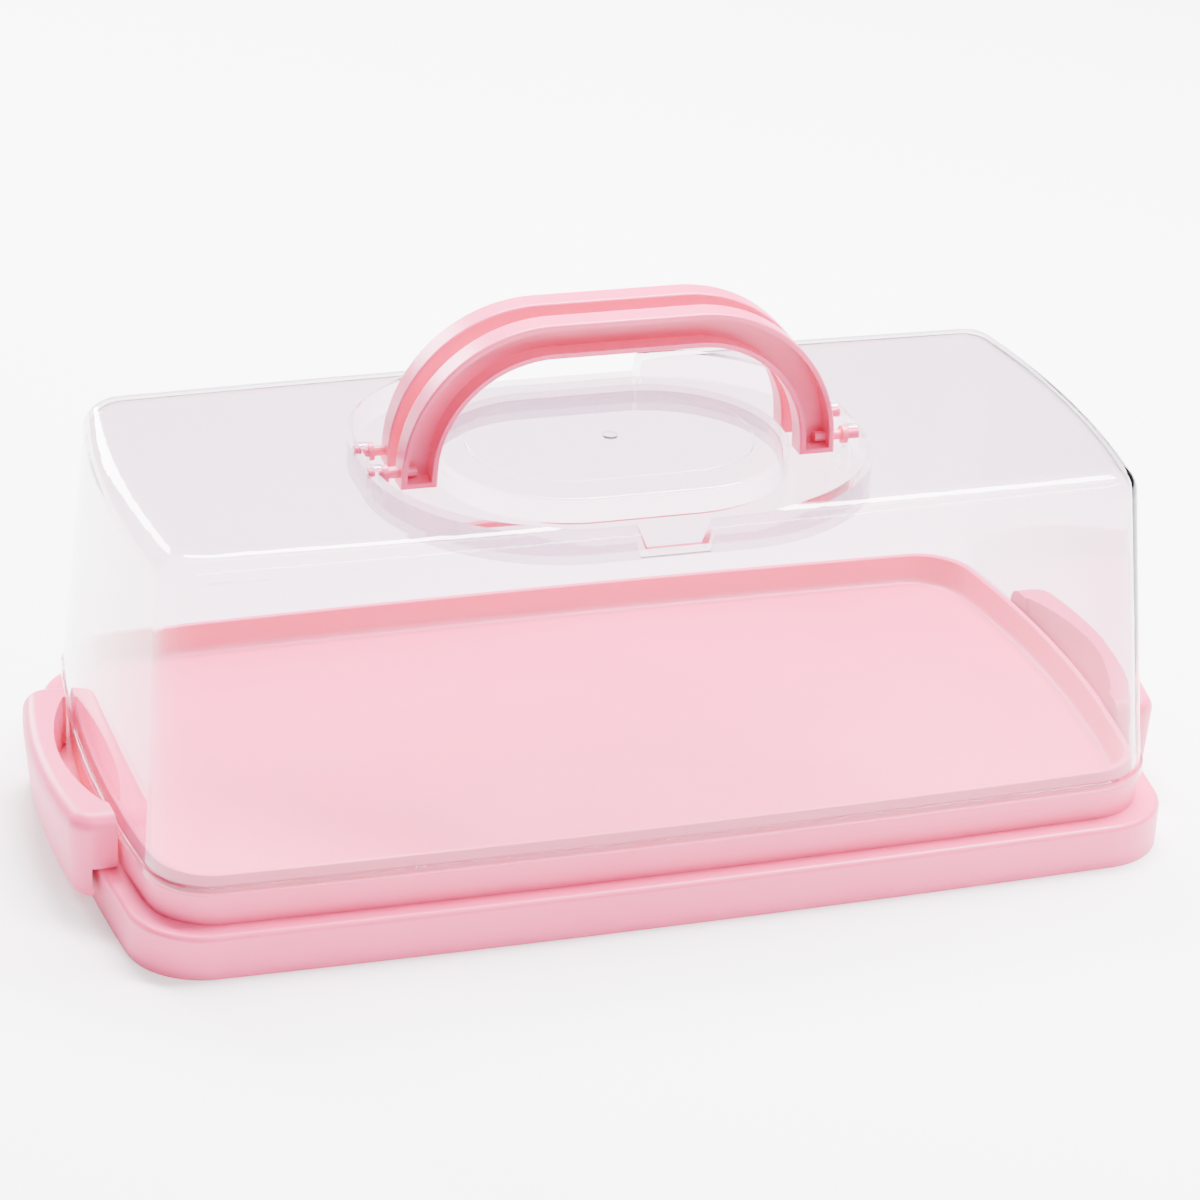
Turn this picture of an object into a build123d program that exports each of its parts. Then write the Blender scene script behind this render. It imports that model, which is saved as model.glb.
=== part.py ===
from build123d import *
import os

os.makedirs("parts", exist_ok=True)

# Bread box: tray, clear lid, two folding carry handles and two end latches.
# Millimetres. +X runs along the loaf, -Y is the front, +Z is up, and the tray stands on Z = 0.

# Tray outline: half sizes at the middle of each side, and how far each side bows outward
TRAY_HALF_X = 172.5
TRAY_HALF_Y = 93.0
TRAY_CORNER = 24.0
BOW_END = 8.0
BOW_SIDE = 2.6

# Tray
WALL = 2.2
SKIRT_H = 14.5
BAND_INSET = 6.6
SEAT_Z = 24.8
COLLAR_H = 5.0
COLLAR_T = 1.8
COLLAR_EDGE_R = 0.6
FLOOR_Z = 20.0
WELL_SLOPE = 3.0
SEAT_EDGE_R = 0.6
SKIRT_EDGE_R = 1.8
FIT_GAP = 0.4
LEVEL_TOL = 0.04

# Stiffening ribs under the tray floor
RIB_T = 1.8
RIB_H = 3.0
RIB_SINK = 1.1
RIB_ROW_Y = 30.0
RIB_ROW_X = 56.0

# Lid
LID_INSET = 6.1
LID_WALL = 2.0
LID_TOP_Z = 123.9
LID_TAPER_X = 7.1
LID_TAPER_Y = 20.4
LID_BOW_END = 6.0
LID_TOP_R = 9.0
LID_CORNER = 20.5
LID_TOP_CORNER = 12.0
LID_RIM_H = 3.0
LID_RIM_OUT = 0.5
LID_RIM_EDGE_R = 0.45

# Handles
HINGE_Y = 8.6
HINGE_Z = 120.6
HANDLE_T = 8.6
HANDLE_HALF_X = 70.5
HANDLE_TOP_Z = 167.0
HANDLE_WIDTH = 11.3
HANDLE_FOOT_DROP = 4.2
HANDLE_FOOT_Z = HINGE_Z - HANDLE_FOOT_DROP
HANDLE_CORNER_RATIO = 0.93
HANDLE_CORNER = HANDLE_CORNER_RATIO * (HANDLE_TOP_Z - HANDLE_FOOT_Z)
HANDLE_LEAN = 2.0
FLANGE_T = 1.8
WEB_T = 2.0
HANDLE_EDGE_R = 0.8
PIN_R = 1.6
COLLAR_R = 2.9
PIN_COLLAR_OUT = 3.5
PIN_COLLAR_X = HANDLE_HALF_X + PIN_COLLAR_OUT
PIN_COLLAR_T = 1.6
RUN_GAP = 0.06
FOLD_REACH = HINGE_Y + HANDLE_TOP_Z - HINGE_Z

# Recess in the lid's top that takes the folded handles, with a raised island inside it
POCKET_MARGIN = 8.5
POCKET_HALF_X = HANDLE_HALF_X + POCKET_MARGIN
POCKET_HALF_Y = FOLD_REACH + POCKET_MARGIN
POCKET_CORNER = HANDLE_CORNER + POCKET_MARGIN
POCKET_DROP = 6.5
POCKET_FLOOR_Z = HINGE_Z - POCKET_DROP
ISLAND_MARGIN = 2.1
ISLAND_HALF_X = HANDLE_HALF_X - HANDLE_WIDTH - ISLAND_MARGIN
ISLAND_HALF_Y = FOLD_REACH - HANDLE_WIDTH - ISLAND_MARGIN
ISLAND_DROP = 2.1
ISLAND_TOP_Z = LID_TOP_Z - ISLAND_DROP
ISLAND_FILLET = 1.5
ROUND_END_FLAT = 1.1
PLATE_INSET = 11.2
PLATE_H = 1.0
PLATE_EDGE_R = 0.5
GATE_R = 2.4
GATE_H = 0.8
NOTCH_TOP_W = 26.0
NOTCH_FLOOR_W = 18.0
NOTCH_STEP = 0.9
NOTCH_FLOOR_Z = POCKET_FLOOR_Z + NOTCH_STEP
REAR_NOTCH_W = 60.0
BOSS_R = 3.2
BOSS_L = 3.0
BOSS_IN_X = POCKET_HALF_X - BOSS_L
PIN_TIP_OUT = 1.0
PIN_TIP_X = POCKET_HALF_X + PIN_TIP_OUT

# End latches: sizes with OUT or IN are measured from the end of the tray
LATCH_SIDE_OUT = 5.5
LATCH_BULGE_OUT = 11.2
LATCH_SIDE_LEAN = 1.0
LATCH_BULGE_LEAN = 3.5
LATCH_IN = 22.5
LATCH_INNER_X = TRAY_HALF_X - LATCH_IN
LATCH_HALF_Y = 45.0
LATCH_Z_TOP = 32.0
LATCH_CORNER_R = 8.0
LATCH_TOP_R = 5.0
LATCH_FOOT_R = 2.5
LATCH_T = 2.6
LATCH_LEG_GAP = 2.2
LATCH_GAP = 0.4
LATCH_STEP_Z = SKIRT_H + LATCH_GAP
ARCH_OUT = 2.4
ARCH_END_IN = 5.5
ARCH_HALF_Y = 35.0
PIVOT_OUT = 2.4
LATCH_PIVOT_X = TRAY_HALF_X + PIVOT_OUT
LATCH_PIVOT_Z = 7.0
ROD_R = 1.5
ROD_HALF_Y = LATCH_HALF_Y - LATCH_CORNER_R - LATCH_GAP
BARREL_R = 2.6
LATCH_FOOT_Z = LATCH_PIVOT_Z - BARREL_R
SNAP_SLOT = 2.4
LUG_Y = 20.0
LUG_T = 5.0


def outline(half_x, half_y, corner, z, bow_x=BOW_END, bow_y=BOW_SIDE):
    """Flat face bounded by four shallow arcs with rounded corners."""
    end_x = half_x - bow_x
    side_y = half_y - bow_y
    corners = [(end_x, -side_y), (end_x, side_y), (-end_x, side_y), (-end_x, -side_y)]
    middles = [(half_x, 0), (0, half_y), (-half_x, 0), (0, -half_y)]
    edges = []
    for i, middle in enumerate(middles):
        edges.append(ThreePointArc(corners[i], middle, corners[(i + 1) % len(corners)]))
    flat = make_face(edges)
    return Pos(0, 0, z) * fillet(flat.vertices(), corner)


def tray_outline(inset, z):
    """The tray's outline, moved inward by inset."""
    return outline(TRAY_HALF_X - inset, TRAY_HALF_Y - inset, TRAY_CORNER - inset / 2, z)


def slab(face, height):
    """Straight block standing on a face."""
    return extrude(face, amount=height, dir=(0, 0, 1))


def mirrored_x(shape):
    return mirror(shape, about=Plane.YZ)


def edges_at(shape, z):
    """Edges that lie in the level plane at z."""
    edges = shape if isinstance(shape, ShapeList) else shape.edges()
    low = edges.filter_by(lambda e: abs(e.bounding_box().min.Z - z) < LEVEL_TOL)
    return low.filter_by(lambda e: abs(e.bounding_box().max.Z - z) < LEVEL_TOL)


def collar_outline(z, inset):
    """The tray's collar at height z: it follows the lid's leaning wall with a small gap."""
    return lid_outline(z, LID_WALL + FIT_GAP + inset)


def tray_shell():
    """Skirt, ledge, band, shoulder and collar, hollow from below."""
    skirt = slab(tray_outline(0, 0), SKIRT_H)
    skirt = fillet(edges_at(skirt, SKIRT_H), SKIRT_EDGE_R)
    band = slab(tray_outline(BAND_INSET, 0), SEAT_Z)
    band = fillet(edges_at(band, SEAT_Z), SEAT_EDGE_R)
    collar_top = SEAT_Z + COLLAR_H
    collar = loft([collar_outline(FLOOR_Z, 0), collar_outline(collar_top, 0)])
    body = skirt + band + collar
    mouth = collar_outline(collar_top, COLLAR_T)
    well_floor = collar_outline(FLOOR_Z, COLLAR_T + WELL_SLOPE)
    well = loft([well_floor, mouth])
    body -= fillet(edges_at(well, FLOOR_Z), WELL_SLOPE)
    body = fillet(edges_at(body, collar_top), COLLAR_EDGE_R)
    body -= slab(tray_outline(WALL, 0), SKIRT_H - WALL)
    body -= slab(tray_outline(BAND_INSET + WALL, 0), FLOOR_Z - WALL)
    return body


def floor_ribs():
    """Low ribs that stiffen the floor from underneath."""
    under = FLOOR_Z - WALL
    length = 2 * (TRAY_HALF_X - BAND_INSET - BOW_END)
    width = 2 * (TRAY_HALF_Y - BAND_INSET - RIB_SINK)
    low = Align.CENTER, Align.CENTER, Align.MAX
    ribs = None
    for y in (-RIB_ROW_Y, RIB_ROW_Y):
        bar = Pos(0, y, under + RIB_SINK) * Box(length, RIB_T, RIB_H + RIB_SINK, align=low)
        ribs = bar if ribs is None else ribs + bar
    for i in (-2, -1, 0, 1, 2):
        at = Pos(i * RIB_ROW_X, 0, under + RIB_SINK)
        ribs += at * Box(RIB_T, width, RIB_H + RIB_SINK, align=low)
    return ribs


def latch_lug(y):
    """One arm on the skirt's right end that carries the latch rod."""
    reach = LATCH_PIVOT_X - (TRAY_HALF_X - WALL)
    arm = Box(reach, LUG_T, 2 * ROD_R, align=(Align.MAX, Align.CENTER, Align.CENTER))
    eye = Rot(90, 0, 0) * Cylinder(ROD_R, LUG_T)
    return Pos(LATCH_PIVOT_X, y, LATCH_PIVOT_Z) * (arm + eye)


def latch_mount():
    """Lugs and rod moulded on the skirt's right end."""
    rod = Rot(90, 0, 0) * Cylinder(ROD_R, 2 * ROD_HALF_Y)
    part = Pos(LATCH_PIVOT_X, 0, LATCH_PIVOT_Z) * rod
    for y in (-LUG_Y, LUG_Y):
        part += latch_lug(y)
    return part


def base_tray():
    body = tray_shell()
    body += floor_ribs() & slab(tray_outline(BAND_INSET + RIB_SINK, 0), FLOOR_Z)
    right = latch_mount()
    body += right + mirrored_x(right)
    return body


def lid_outline(z, inset):
    """The lid's outer outline at height z, moved inward by inset."""
    share = (z - SEAT_Z) / (LID_TOP_Z - SEAT_Z)
    half_x = TRAY_HALF_X - LID_INSET - share * LID_TAPER_X - inset
    half_y = TRAY_HALF_Y - LID_INSET - share * LID_TAPER_Y - inset
    corner = LID_CORNER + share * (LID_TOP_CORNER - LID_CORNER) - inset / 2
    bow = BOW_END + share * (LID_BOW_END - BOW_END)
    return outline(half_x, half_y, corner, z, bow, BOW_SIDE)


def lid_block(low_z, top_z, inset, top_r):
    """Tapering block with a rounded top edge: the lid's outside or its inside."""
    block = loft([lid_outline(low_z, inset), lid_outline(top_z, inset)])
    return fillet(edges_at(block, top_z), top_r)


def pocket_outline(grow, z):
    flat = RectangleRounded(2 * (POCKET_HALF_X + grow), 2 * (POCKET_HALF_Y + grow), POCKET_CORNER + grow)
    return Pos(0, 0, z) * flat


def island(grow, top_z, low_z):
    """Raised island inside the recess."""
    size_x = 2 * (ISLAND_HALF_X + grow)
    size_y = 2 * (ISLAND_HALF_Y + grow)
    flat = RectangleRounded(size_x, size_y, min(size_x, size_y) / 2 - ROUND_END_FLAT)
    block = slab(Pos(0, 0, low_z) * flat, top_z - low_z)
    return fillet(edges_at(block, top_z), ISLAND_FILLET)


def front_notch(grow):
    """Finger notch cut through the front rim of the recess."""
    z = NOTCH_FLOOR_Z - grow
    low = NOTCH_FLOOR_W / 2 + grow
    high = NOTCH_TOP_W / 2 + grow
    top = LID_TOP_Z + LID_WALL
    wire = Polyline((-low, z), (low, z), (high, top), (-high, top), (-low, z))
    face = Plane.XZ.offset(POCKET_HALF_Y - LID_WALL) * make_face(wire)
    return extrude(face, amount=TRAY_HALF_Y - POCKET_HALF_Y, dir=(0, -1, 0))


def rear_notch(grow):
    """Wide gap in the rear rim of the recess, level with its floor."""
    width = REAR_NOTCH_W + 2 * grow
    depth = TRAY_HALF_Y - POCKET_HALF_Y + LID_WALL
    place = Pos(0, POCKET_HALF_Y - LID_WALL, POCKET_FLOOR_Z - grow)
    return place * Box(width, depth, LID_TOP_R + LID_WALL, align=(Align.CENTER, Align.MIN, Align.MIN))


def recess(grow):
    """The whole recess: with no growth its air, with growth the moulded wall around it."""
    air = slab(pocket_outline(grow, POCKET_FLOOR_Z - grow), LID_TOP_Z + LID_WALL - POCKET_FLOOR_Z + grow)
    air += front_notch(grow)
    air += rear_notch(grow)
    return air


def handle_boss(x, y):
    """Round boss on the outside of the recess wall, bored for a handle pin."""
    length = POCKET_HALF_X + LID_WALL - BOSS_IN_X
    boss = Rot(0, 90, 0) * Cylinder(BOSS_R, length, align=(Align.CENTER, Align.CENTER, Align.MIN))
    foot_h = HINGE_Z - POCKET_FLOOR_Z + LID_WALL
    foot = Box(length, 2 * BOSS_R, foot_h, align=(Align.MIN, Align.CENTER, Align.MAX))
    return Pos(x, y, HINGE_Z) * (boss + foot)


def pin_bores():
    """Clearance holes for the four handle pins, cut from the pocket outwards."""
    depth = PIN_TIP_X + FIT_GAP - PIN_COLLAR_X
    out = Align.CENTER, Align.CENTER, Align.MIN
    bores = None
    for y in (-HINGE_Y, HINGE_Y):
        hole = Rot(0, 90, 0) * Cylinder(PIN_R + RUN_GAP, depth, align=out)
        hole = Pos(PIN_COLLAR_X, y, HINGE_Z) * hole
        bores = hole if bores is None else bores + hole
    return bores + mirrored_x(bores)


def lid():
    outer = lid_block(SEAT_Z, LID_TOP_Z, 0, LID_TOP_R)
    rim = slab(lid_outline(SEAT_Z, -LID_RIM_OUT), LID_RIM_H)
    rim = fillet(edges_at(rim, SEAT_Z + LID_RIM_H), LID_RIM_EDGE_R)
    inner = lid_block(SEAT_Z, LID_TOP_Z - LID_WALL, LID_WALL, LID_TOP_R - LID_WALL)
    top = island(0, ISLAND_TOP_Z, POCKET_FLOOR_Z - LID_WALL)
    hollow_top = island(-LID_WALL, ISLAND_TOP_Z - LID_WALL, POCKET_FLOOR_Z - 2 * LID_WALL)
    plate = slab(Pos(0, 0, ISLAND_TOP_Z - PLATE_H) * plate_outline(), 2 * PLATE_H)
    body = outer + rim - inner
    body += outer & recess(LID_WALL)
    body -= recess(0)
    body += top
    body -= hollow_top
    body += fillet(edges_at(plate, ISLAND_TOP_Z + PLATE_H), PLATE_EDGE_R)
    body += Pos(0, 0, ISLAND_TOP_Z + PLATE_H) * Cylinder(GATE_R, 2 * GATE_H)
    bosses = None
    for y in (-HINGE_Y, HINGE_Y):
        boss = handle_boss(BOSS_IN_X, y)
        bosses = boss if bosses is None else bosses + boss
    body += bosses + mirrored_x(bosses)
    return body - pin_bores()


def plate_outline():
    half_x = ISLAND_HALF_X - PLATE_INSET
    half_y = ISLAND_HALF_Y - PLATE_INSET
    return RectangleRounded(2 * half_x, 2 * half_y, min(half_x, half_y) - ROUND_END_FLAT)


def arch_face(inset, foot_z):
    """Handle outline in the XZ plane: leaning sides and a flat top with big round corners."""
    foot = HANDLE_HALF_X - inset
    shoulder = foot - HANDLE_LEAN
    top = HANDLE_TOP_Z - inset
    wire = Polyline((-foot, foot_z), (foot, foot_z), (shoulder, top), (-shoulder, top), (-foot, foot_z))
    face = make_face(wire)
    corners = face.vertices().filter_by(lambda v: v.Y > HINGE_Z)
    return fillet(corners, HANDLE_CORNER - inset)


def handle_pins(y):
    """Stub pin and collar disc at each foot of a handle."""
    root = HANDLE_HALF_X - HANDLE_WIDTH / 2
    out = Align.CENTER, Align.CENTER, Align.MIN
    stub = Pos(root, y, HINGE_Z) * (Rot(0, 90, 0) * Cylinder(PIN_R, PIN_TIP_X - root, align=out))
    disc = Pos(PIN_COLLAR_X, y, HINGE_Z) * (Rot(0, 90, 0) * Cylinder(COLLAR_R, PIN_COLLAR_T, align=out))
    pins = stub + disc
    return pins + mirrored_x(pins)


def handle_front():
    """Arch with a channel open to the front, and a pin at each foot."""
    back_y = -HINGE_Y + HANDLE_T / 2
    ring = arch_face(0, HANDLE_FOOT_Z) - arch_face(HANDLE_WIDTH, HANDLE_FOOT_Z - WALL)
    arch = extrude(Plane.XZ.offset(-back_y) * ring, amount=HANDLE_T, dir=(0, -1, 0))
    outside = arch.faces().filter_by(Axis.Y).edges()
    arch = fillet(outside, HANDLE_EDGE_R)
    channel = arch_face(FLANGE_T, HANDLE_FOOT_Z + FLANGE_T)
    channel -= arch_face(HANDLE_WIDTH - FLANGE_T, HANDLE_FOOT_Z - WALL)
    cut = extrude(Plane.XZ.offset(WEB_T - back_y) * channel, amount=HANDLE_T, dir=(0, -1, 0))
    arch -= cut
    return arch + handle_pins(-HINGE_Y)


def latch_plan(side_x, bulge_x, z):
    """Plan of the right latch: open-ended toward the lid, bowed on the outside."""
    far = side_x, LATCH_HALF_Y
    near = side_x, -LATCH_HALF_Y
    line = Polyline(far, (LATCH_INNER_X, LATCH_HALF_Y), (LATCH_INNER_X, -LATCH_HALF_Y), near)
    return Pos(0, 0, z) * make_face([*line.edges(), ThreePointArc(near, (bulge_x, 0), far)])


def latch_skin(inset):
    """Block of the latch's height whose leaning outer face lies inset inside the latch's own."""
    side_x = TRAY_HALF_X + LATCH_SIDE_OUT - inset
    bulge_x = TRAY_HALF_X + LATCH_BULGE_OUT - inset
    low = latch_plan(side_x - LATCH_SIDE_LEAN, bulge_x - LATCH_BULGE_LEAN, LATCH_FOOT_Z)
    return loft([low, latch_plan(side_x, bulge_x, LATCH_Z_TOP)])


def outer_edges(body):
    """Edges of a latch body that reach beyond the end of the tray."""
    return body.edges().filter_by(lambda e: e.bounding_box().max.X > TRAY_HALF_X + LATCH_GAP)


def latch_blank():
    """Outer body of the right latch with soft outer corners and edges."""
    body = latch_skin(0)
    upright = body.edges().filter_by(lambda e: e.bounding_box().min.X > TRAY_HALF_X)
    upright = upright.filter_by(lambda e: e.bounding_box().size.Z > LATCH_STEP_Z)
    body = fillet(upright, LATCH_CORNER_R)
    body = fillet(edges_at(outer_edges(body), LATCH_Z_TOP), LATCH_TOP_R)
    return fillet(edges_at(outer_edges(body), LATCH_FOOT_Z), LATCH_FOOT_R)


def latch_arch():
    """Concave cut between the two tips, seen from above."""
    end_x = TRAY_HALF_X - ARCH_END_IN
    far = end_x, ARCH_HALF_Y
    near = end_x, -ARCH_HALF_Y
    line = Polyline(far, (LATCH_INNER_X, ARCH_HALF_Y), (LATCH_INNER_X, -ARCH_HALF_Y), near)
    face = make_face([*line.edges(), ThreePointArc(near, (TRAY_HALF_X + ARCH_OUT, 0), far)])
    return slab(Pos(0, 0, LATCH_STEP_Z) * face, LATCH_Z_TOP)


def latch_keep_out():
    """Space kept clear of the latch: the lid above, the skirt and ledge below."""
    lid_space = slab(tray_outline(LID_INSET - LID_RIM_OUT - LATCH_GAP, 0), LATCH_Z_TOP + LATCH_T)
    skirt_space = slab(tray_outline(-LATCH_LEG_GAP, 0), LATCH_STEP_Z)
    align = Align.MAX, Align.CENTER, Align.MIN
    heel = Box(2 * BARREL_R + LATCH_T, 2 * LATCH_HALF_Y, LATCH_PIVOT_Z, align=align)
    return lid_space + skirt_space + Pos(LATCH_PIVOT_X, 0, 0) * heel


def latch_barrel():
    """Round barrel along the latch that holds the rod, cut off by the latch's outer faces."""
    barrel = Rot(90, 0, 0) * Cylinder(BARREL_R, 2 * LATCH_HALF_Y)
    return Pos(LATCH_PIVOT_X, 0, LATCH_PIVOT_Z) * barrel & latch_blank()


def latch_cavity():
    """Hollow behind the middle of the latch, where the tray's lugs reach in."""
    top_z = LATCH_STEP_Z - LATCH_T
    low = Align.CENTER, Align.CENTER, Align.MIN
    return latch_skin(LATCH_T) & Box(4 * LATCH_PIVOT_X, 2 * (LUG_Y + LUG_T), top_z, align=low)


def latch_socket():
    """Bore for the rod, with a snap slot narrower than the rod."""
    length = 2 * (ROD_HALF_Y + FIT_GAP)
    bore = Rot(90, 0, 0) * Cylinder(ROD_R + RUN_GAP, length)
    slot = Box(2 * BARREL_R, length, SNAP_SLOT, align=(Align.MAX, Align.CENTER, Align.CENTER))
    return Pos(LATCH_PIVOT_X, 0, LATCH_PIVOT_Z) * (bore + slot)


def latch_right():
    """Bowed end latch: hooked tips, a concave finger gap, and snap sockets for the tray's rod."""
    body = latch_blank() - latch_keep_out()
    body -= latch_arch()
    body += latch_barrel()
    return body - latch_cavity() - latch_socket()


tray = base_tray()
front = handle_front()
right = latch_right()
made = {
    "base_tray": tray,
    "lid": lid(),
    "handle_front": front,
    "handle_rear": mirror(front, about=Plane.XZ),
    "latch_right": right,
    "latch_left": mirrored_x(right),
}
for name, shape in made.items():
    export_step(shape, "parts/" + name + ".step")
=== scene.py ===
import math

import bpy
from mathutils import Matrix, Vector

bl_info = {
    "name": "Bread Box",
    "version": (1, 0, 0),
    "blender": (4, 5, 0),
    "location": "View3D > Sidebar > Bread Box",
    "description": "Dresses the bread box: satin pink mouldings, a clear lid and a soft studio",
    "category": "Add Mesh",
}

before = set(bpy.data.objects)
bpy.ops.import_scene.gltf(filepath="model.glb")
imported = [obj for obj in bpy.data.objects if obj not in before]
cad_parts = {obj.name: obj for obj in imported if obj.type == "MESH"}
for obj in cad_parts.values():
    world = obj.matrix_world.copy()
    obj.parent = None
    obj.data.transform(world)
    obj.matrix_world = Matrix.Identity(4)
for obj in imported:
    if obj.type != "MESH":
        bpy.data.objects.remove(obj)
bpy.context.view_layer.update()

# Studio camera, in metres and degrees
CAMERA_PLACE = (-0.3517, -1.0277, 0.6017)
CAMERA_AIM = (0.0033, 0.011, 0.06)
CAMERA_ROLL = 2.945
SENSOR_WIDTH = 36.0
CLIP_END = 50.0

# Soft boxes: name, place, aim, width, height, watts
SOFT_BOXES = (
    ("top_box", (0.4, 0.45, 1.45), (0, 0, 0.1), 1.7, 0.35, 240.0),
    ("fillet_strip", (0.4, -0.85, 1.1), (0, 0, 0.12), 1.6, 0.06, 22.0),
    ("end_strip", (-0.58, 1.4, 0.65), (-0.15, 0, 0.12), 0.35, 0.7, 45.0),
)
WORLD_STRENGTH = 0.25
FLOOR_PLACE = (0, 1.5, 0)
FLOOR_GLOW = 0.6
WHITE = (1, 1, 1, 1)

# Roughness of each satin moulding, and how far it drifts below and above
TRAY_ROUGH = 0.4
HANDLE_ROUGH = 0.36
LATCH_ROUGH = 0.42
ROUGH_BELOW = 0.04
ROUGH_ABOVE = 0.05

# Noise scales on object coordinates, per metre
DRIFT_SCALE = 14.0
SHEEN_SCALE = 60.0
GRAIN_SCALE = 2600.0
HAZE_SCALE = 30.0
WAVE_SCALE = 9.0

# Clear lid: how it greys toward its edges, its gloss and its haze
EDGE_BLEND = 0.35
EDGE_START = 0.25
CLEAR_IOR = 1.06
GLOSS_IOR = 1.48
GLOSS_ROUGH = 0.03
HAZE_ROUGH = 0.03


class BreadBoxColours(bpy.types.PropertyGroup):
    pink: bpy.props.FloatVectorProperty(
        name="Pink", description="Base colour of the pink mouldings", subtype="COLOR", size=3,
        min=0, max=1, default=(0.83, 0.08, 0.235))
    pale: bpy.props.FloatVectorProperty(
        name="Pale pink", description="Lighter tone that the pink drifts toward", subtype="COLOR", size=3,
        min=0, max=1, default=(0.85, 0.1, 0.26))
    clear: bpy.props.FloatVectorProperty(
        name="Clear", description="Tint of the clear lid", subtype="COLOR", size=3,
        min=0, max=1, default=(0.83, 0.75, 0.805))
    edge: bpy.props.FloatVectorProperty(
        name="Edge", description="Tint of the lid where its wall is seen edge-on", subtype="COLOR", size=3,
        min=0, max=1, default=(0.5, 0.41, 0.46))
    floor: bpy.props.FloatVectorProperty(
        name="Floor", description="Colour of the studio floor", subtype="COLOR", size=3,
        min=0, max=1, default=(0.9, 0.9, 0.91))


class BreadBoxSizes(bpy.types.PropertyGroup):
    lens: bpy.props.FloatProperty(
        name="Lens", description="Focal length of the studio camera", default=114.03, min=20, unit="CAMERA")
    floor_size: bpy.props.FloatProperty(
        name="Floor size", description="Side of the studio floor", default=9.0, min=1, unit="LENGTH")


def new_material(name):
    """Empty node material with its Principled shader and output."""
    material = bpy.data.materials.new(name)
    material.use_nodes = True
    tree = material.node_tree
    return material, tree, tree.nodes["Principled BSDF"]


def node(tree, kind, **values):
    """Adds a node and sets the named inputs or settings on it."""
    made = tree.nodes.new("ShaderNode" + kind)
    for name, value in values.items():
        if name in made.inputs:
            made.inputs[name].default_value = value
        else:
            setattr(made, name, value)
    return made


def noise_on_object(tree, scale, detail=3.0, roughness=0.5):
    """Noise texture that reads the object's own coordinates."""
    place = node(tree, "TexCoord")
    noise = node(tree, "TexNoise", Scale=scale, Detail=detail, Roughness=roughness)
    tree.links.new(place.outputs["Object"], noise.inputs["Vector"])
    return noise


def satin_pink(name, colours, rough):
    """Satin moulded plastic: slight colour drift, uneven sheen and a fine mould grain."""
    material, tree, shader = new_material(name)
    drift = noise_on_object(tree, DRIFT_SCALE)
    ramp = node(tree, "ValToRGB")
    ramp.color_ramp.elements[0].position = 0.3
    ramp.color_ramp.elements[1].position = 0.7
    ramp.color_ramp.elements[0].color = (*colours.pink, 1)
    ramp.color_ramp.elements[1].color = (*colours.pale, 1)
    tree.links.new(drift.outputs["Fac"], ramp.inputs["Fac"])
    tree.links.new(ramp.outputs["Color"], shader.inputs["Base Color"])
    sheen = noise_on_object(tree, SHEEN_SCALE, 4.0)
    spread = node(tree, "MapRange")
    spread.inputs["To Min"].default_value = rough - ROUGH_BELOW
    spread.inputs["To Max"].default_value = rough + ROUGH_ABOVE
    tree.links.new(sheen.outputs["Fac"], spread.inputs["Value"])
    tree.links.new(spread.outputs["Result"], shader.inputs["Roughness"])
    grain = noise_on_object(tree, GRAIN_SCALE, 2.0)
    bump = node(tree, "Bump", Strength=0.03, Distance=0.0002)
    tree.links.new(grain.outputs["Fac"], bump.inputs["Height"])
    tree.links.new(bump.outputs["Normal"], shader.inputs["Normal"])
    shader.inputs["Subsurface Weight"].default_value = 0.25
    shader.inputs["Subsurface Radius"].default_value = (1.0, 0.45, 0.45)
    shader.inputs["Subsurface Scale"].default_value = 0.003
    shader.inputs["Coat Weight"].default_value = 0.12
    shader.inputs["Coat Roughness"].default_value = 0.25
    return material


def clear_plastic(name, colours):
    """Clear moulded plastic: a faintly tinted wall, darker where seen edge-on, under a clear gloss."""
    material, tree, shader = new_material(name)
    edge = node(tree, "LayerWeight", Blend=EDGE_BLEND)
    ramp = node(tree, "ValToRGB")
    ramp.color_ramp.elements[0].position = EDGE_START
    ramp.color_ramp.elements[0].color = (*colours.clear, 1)
    ramp.color_ramp.elements[1].color = (*colours.edge, 1)
    tree.links.new(edge.outputs["Facing"], ramp.inputs["Fac"])
    tree.links.new(ramp.outputs["Color"], shader.inputs["Base Color"])
    shader.inputs["Transmission Weight"].default_value = 1.0
    shader.inputs["IOR"].default_value = CLEAR_IOR
    shader.inputs["Coat Weight"].default_value = 1.0
    shader.inputs["Coat IOR"].default_value = GLOSS_IOR
    shader.inputs["Coat Roughness"].default_value = GLOSS_ROUGH
    haze = noise_on_object(tree, HAZE_SCALE)
    spread = node(tree, "MapRange")
    spread.inputs["To Min"].default_value = 0.0
    spread.inputs["To Max"].default_value = HAZE_ROUGH
    tree.links.new(haze.outputs["Fac"], spread.inputs["Value"])
    tree.links.new(spread.outputs["Result"], shader.inputs["Roughness"])
    waves = noise_on_object(tree, WAVE_SCALE, 1.0)
    bump = node(tree, "Bump", Strength=0.02, Distance=0.002)
    tree.links.new(waves.outputs["Fac"], bump.inputs["Height"])
    tree.links.new(bump.outputs["Normal"], shader.inputs["Coat Normal"])
    let_light_through(tree, shader, colours.clear)
    return material


def let_light_through(tree, shader, tint):
    """Lets lamp light pass the clear wall, so that what is behind it stays bright."""
    rays = node(tree, "LightPath")
    gap = node(tree, "BsdfTransparent", Color=(*tint, 1))
    mix = node(tree, "MixShader")
    tree.links.new(rays.outputs["Is Shadow Ray"], mix.inputs["Fac"])
    tree.links.new(shader.outputs["BSDF"], mix.inputs[1])
    tree.links.new(gap.outputs["BSDF"], mix.inputs[2])
    tree.links.new(mix.outputs["Shader"], tree.nodes["Material Output"].inputs["Surface"])


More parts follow.
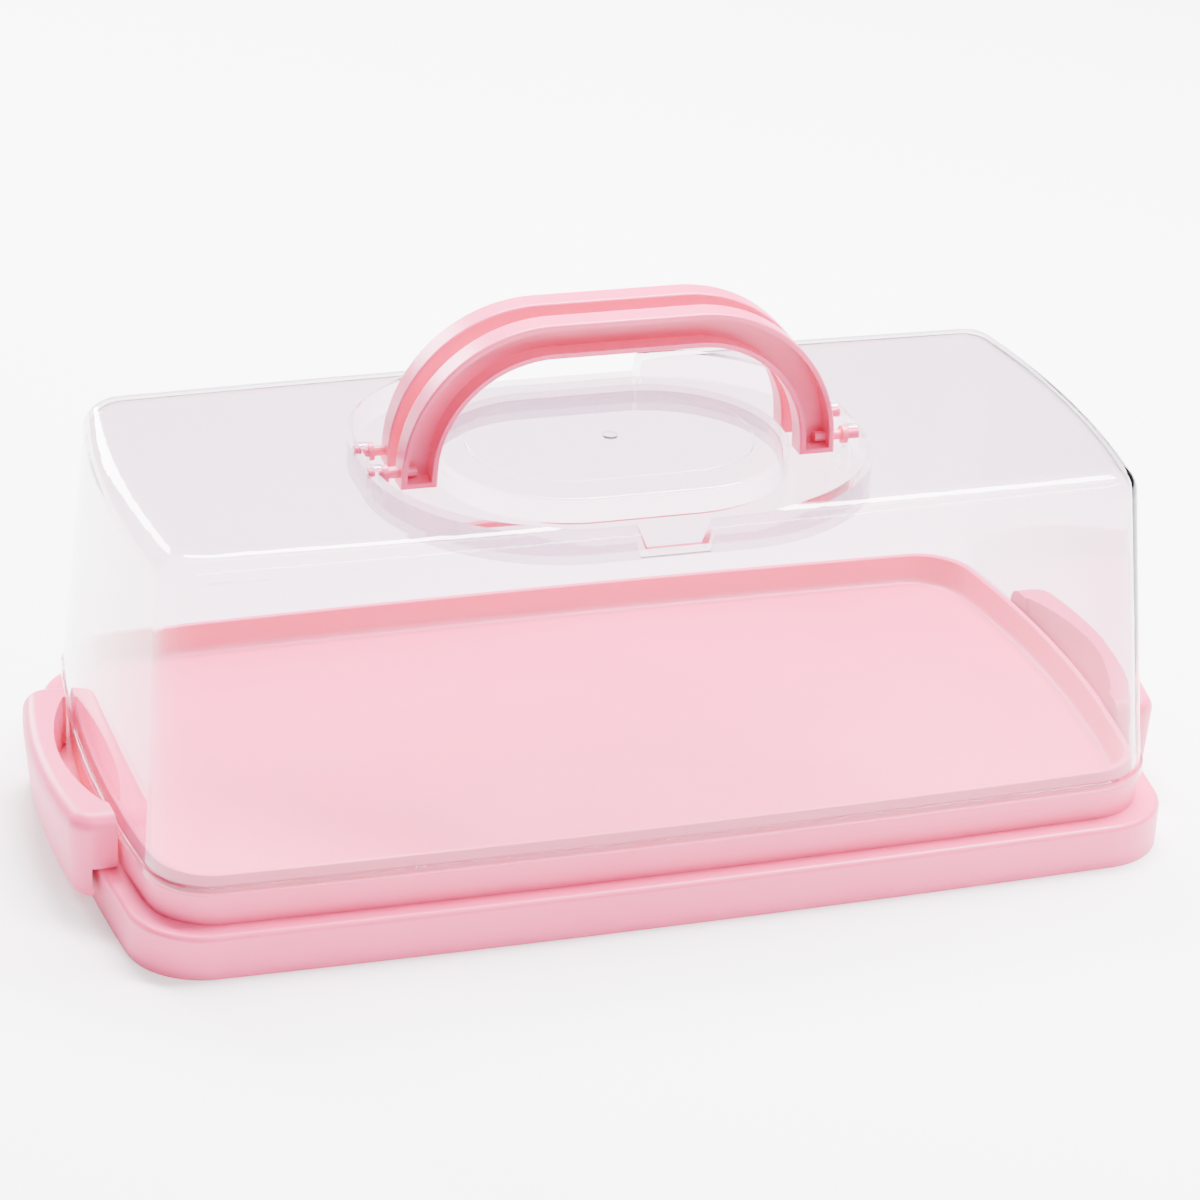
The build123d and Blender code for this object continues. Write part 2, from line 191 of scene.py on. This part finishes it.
def dress(name, material):
    """Puts a material on every slot of a CAD node."""
    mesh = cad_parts[name].data
    mesh.materials.clear()
    mesh.materials.append(material)


class BREADBOX_OT_tray(bpy.types.Operator):
    """Dresses the tray"""
    bl_idname = "breadbox.tray"
    bl_label = "Tray"

    def execute(self, context):
        dress("base_tray", satin_pink("tray_pink", context.scene.bread_box_colours, TRAY_ROUGH))
        return {"FINISHED"}


class BREADBOX_OT_lid(bpy.types.Operator):
    """Dresses the clear lid"""
    bl_idname = "breadbox.lid"
    bl_label = "Lid"

    def execute(self, context):
        dress("lid", clear_plastic("lid_clear", context.scene.bread_box_colours))
        return {"FINISHED"}


class BREADBOX_OT_handles(bpy.types.Operator):
    """Dresses the two carry handles"""
    bl_idname = "breadbox.handles"
    bl_label = "Handles"

    def execute(self, context):
        material = satin_pink("handle_pink", context.scene.bread_box_colours, HANDLE_ROUGH)
        for name in ("handle_front", "handle_rear"):
            dress(name, material)
        return {"FINISHED"}


class BREADBOX_OT_latches(bpy.types.Operator):
    """Dresses the two end latches"""
    bl_idname = "breadbox.latches"
    bl_label = "Latches"

    def execute(self, context):
        material = satin_pink("latch_pink", context.scene.bread_box_colours, LATCH_ROUGH)
        for name in ("latch_left", "latch_right"):
            dress(name, material)
        return {"FINISHED"}


def soft_box(name, place, aim, size_x, size_y, watts):
    """Rectangular area light that points at a place."""
    light = bpy.data.lights.new(name, "AREA")
    light.shape = "RECTANGLE"
    light.size = size_x
    light.size_y = size_y
    light.energy = watts
    lamp = bpy.data.objects.new(name, light)
    bpy.context.scene.collection.objects.link(lamp)
    lamp.location = place
    lamp.rotation_euler = (Vector(aim) - Vector(place)).to_track_quat("-Z", "Y").to_euler()


def studio_camera(sizes):
    """Camera at the photographed view, with its slight roll."""
    data = bpy.data.cameras.new("studio_camera")
    data.lens = sizes.lens
    data.sensor_width = SENSOR_WIDTH
    data.clip_end = CLIP_END
    camera = bpy.data.objects.new("studio_camera", data)
    bpy.context.scene.collection.objects.link(camera)
    place = Vector(CAMERA_PLACE)
    turn = (Vector(CAMERA_AIM) - place).to_track_quat("-Z", "Y").to_matrix().to_4x4()
    roll = Matrix.Rotation(math.radians(CAMERA_ROLL), 4, "Z")
    camera.matrix_world = Matrix.Translation(place) @ turn @ roll
    bpy.context.scene.camera = camera


class BREADBOX_OT_stage(bpy.types.Operator):
    """Makes the pale floor, the soft studio lights and the camera"""
    bl_idname = "breadbox.stage"
    bl_label = "Stage"

    def execute(self, context):
        colours = context.scene.bread_box_colours
        sizes = context.scene.bread_box_sizes
        bpy.ops.mesh.primitive_plane_add(size=sizes.floor_size, location=FLOOR_PLACE)
        floor = context.active_object
        floor.name = "studio_floor"
        material, tree, shader = new_material("floor_pale")
        shader.inputs["Base Color"].default_value = (*colours.floor, 1)
        shader.inputs["Roughness"].default_value = 0.7
        shader.inputs["Specular IOR Level"].default_value = 0.2
        shader.inputs["Emission Color"].default_value = WHITE
        shader.inputs["Emission Strength"].default_value = FLOOR_GLOW
        floor.data.materials.append(material)
        world = bpy.data.worlds.new("studio_world")
        world.use_nodes = True
        sky = world.node_tree.nodes["Background"]
        sky.inputs["Color"].default_value = WHITE
        sky.inputs["Strength"].default_value = WORLD_STRENGTH
        context.scene.world = world
        for box in SOFT_BOXES:
            soft_box(*box)
        studio_camera(sizes)
        return {"FINISHED"}


class BREADBOX_PT_panel(bpy.types.Panel):
    bl_label = "Bread Box"
    bl_idname = "BREADBOX_PT_panel"
    bl_space_type = "VIEW_3D"
    bl_region_type = "UI"
    bl_category = "Bread Box"

    def draw(self, context):
        column = self.layout.column()
        for name in ("pink", "pale", "clear", "edge", "floor"):
            column.prop(context.scene.bread_box_colours, name)
        for name in ("lens", "floor_size"):
            column.prop(context.scene.bread_box_sizes, name)
        for kind in OPERATORS:
            column.operator(kind.bl_idname)


OPERATORS = (BREADBOX_OT_stage, BREADBOX_OT_tray, BREADBOX_OT_lid, BREADBOX_OT_handles, BREADBOX_OT_latches)
CLASSES = (BreadBoxColours, BreadBoxSizes, *OPERATORS, BREADBOX_PT_panel)


def register():
    for kind in CLASSES:
        bpy.utils.register_class(kind)
    bpy.types.Scene.bread_box_colours = bpy.props.PointerProperty(type=BreadBoxColours)
    bpy.types.Scene.bread_box_sizes = bpy.props.PointerProperty(type=BreadBoxSizes)


def unregister():
    del bpy.types.Scene.bread_box_colours
    del bpy.types.Scene.bread_box_sizes
    for kind in reversed(CLASSES):
        bpy.utils.unregister_class(kind)


def main():
    register()
    bpy.ops.breadbox.stage()
    bpy.ops.breadbox.tray()
    bpy.ops.breadbox.lid()
    bpy.ops.breadbox.handles()
    bpy.ops.breadbox.latches()


if __name__ == "__main__":
    main()
